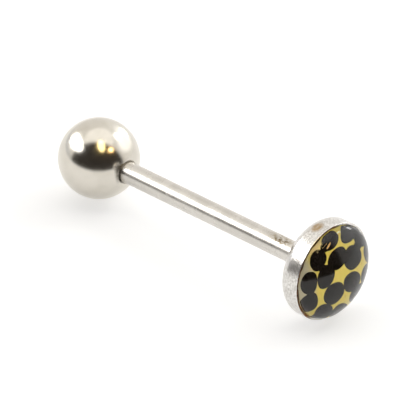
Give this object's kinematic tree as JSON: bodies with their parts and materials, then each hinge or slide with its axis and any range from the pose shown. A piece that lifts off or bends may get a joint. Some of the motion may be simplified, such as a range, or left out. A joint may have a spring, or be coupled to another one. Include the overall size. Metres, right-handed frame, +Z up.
{
  "type": "tongue barbell",
  "caption": "Straight steel barbell with a screw-on ball at one end and, at the other, a shallow cup holding a spotted gold print under a clear domed resin.",
  "frame": {"origin": "on the ground, below the middle of the barbell as it lies at rest", "axes": "+X along the barbell towards the cup, +Z up, the barbell lying on its ball and on the rounded edge of its cup"},
  "size_m": [0.0276, 0.0074, 0.0074],
  "materials": {
    "satin_steel": "bar polished, wall of the cup finely brushed round",
    "polished_steel": "mirror polished",
    "printed_foil": "metallic gold print with black spots",
    "clear_resin": "clear and glossy"
  },
  "bodies": {
    "barbell": {"bar_and_cup": "satin_steel", "picture": "printed_foil", "dome": "clear_resin"},
    "ball": {"ball": "polished_steel"}
  },
  "joints": [
    {"name": "ball_unscrew", "type": "slide", "parent": "barbell", "child": "ball", "axis": [-0.9995, 0, -0.0321], "range_m": [0, 0.0045]}
  ]
}
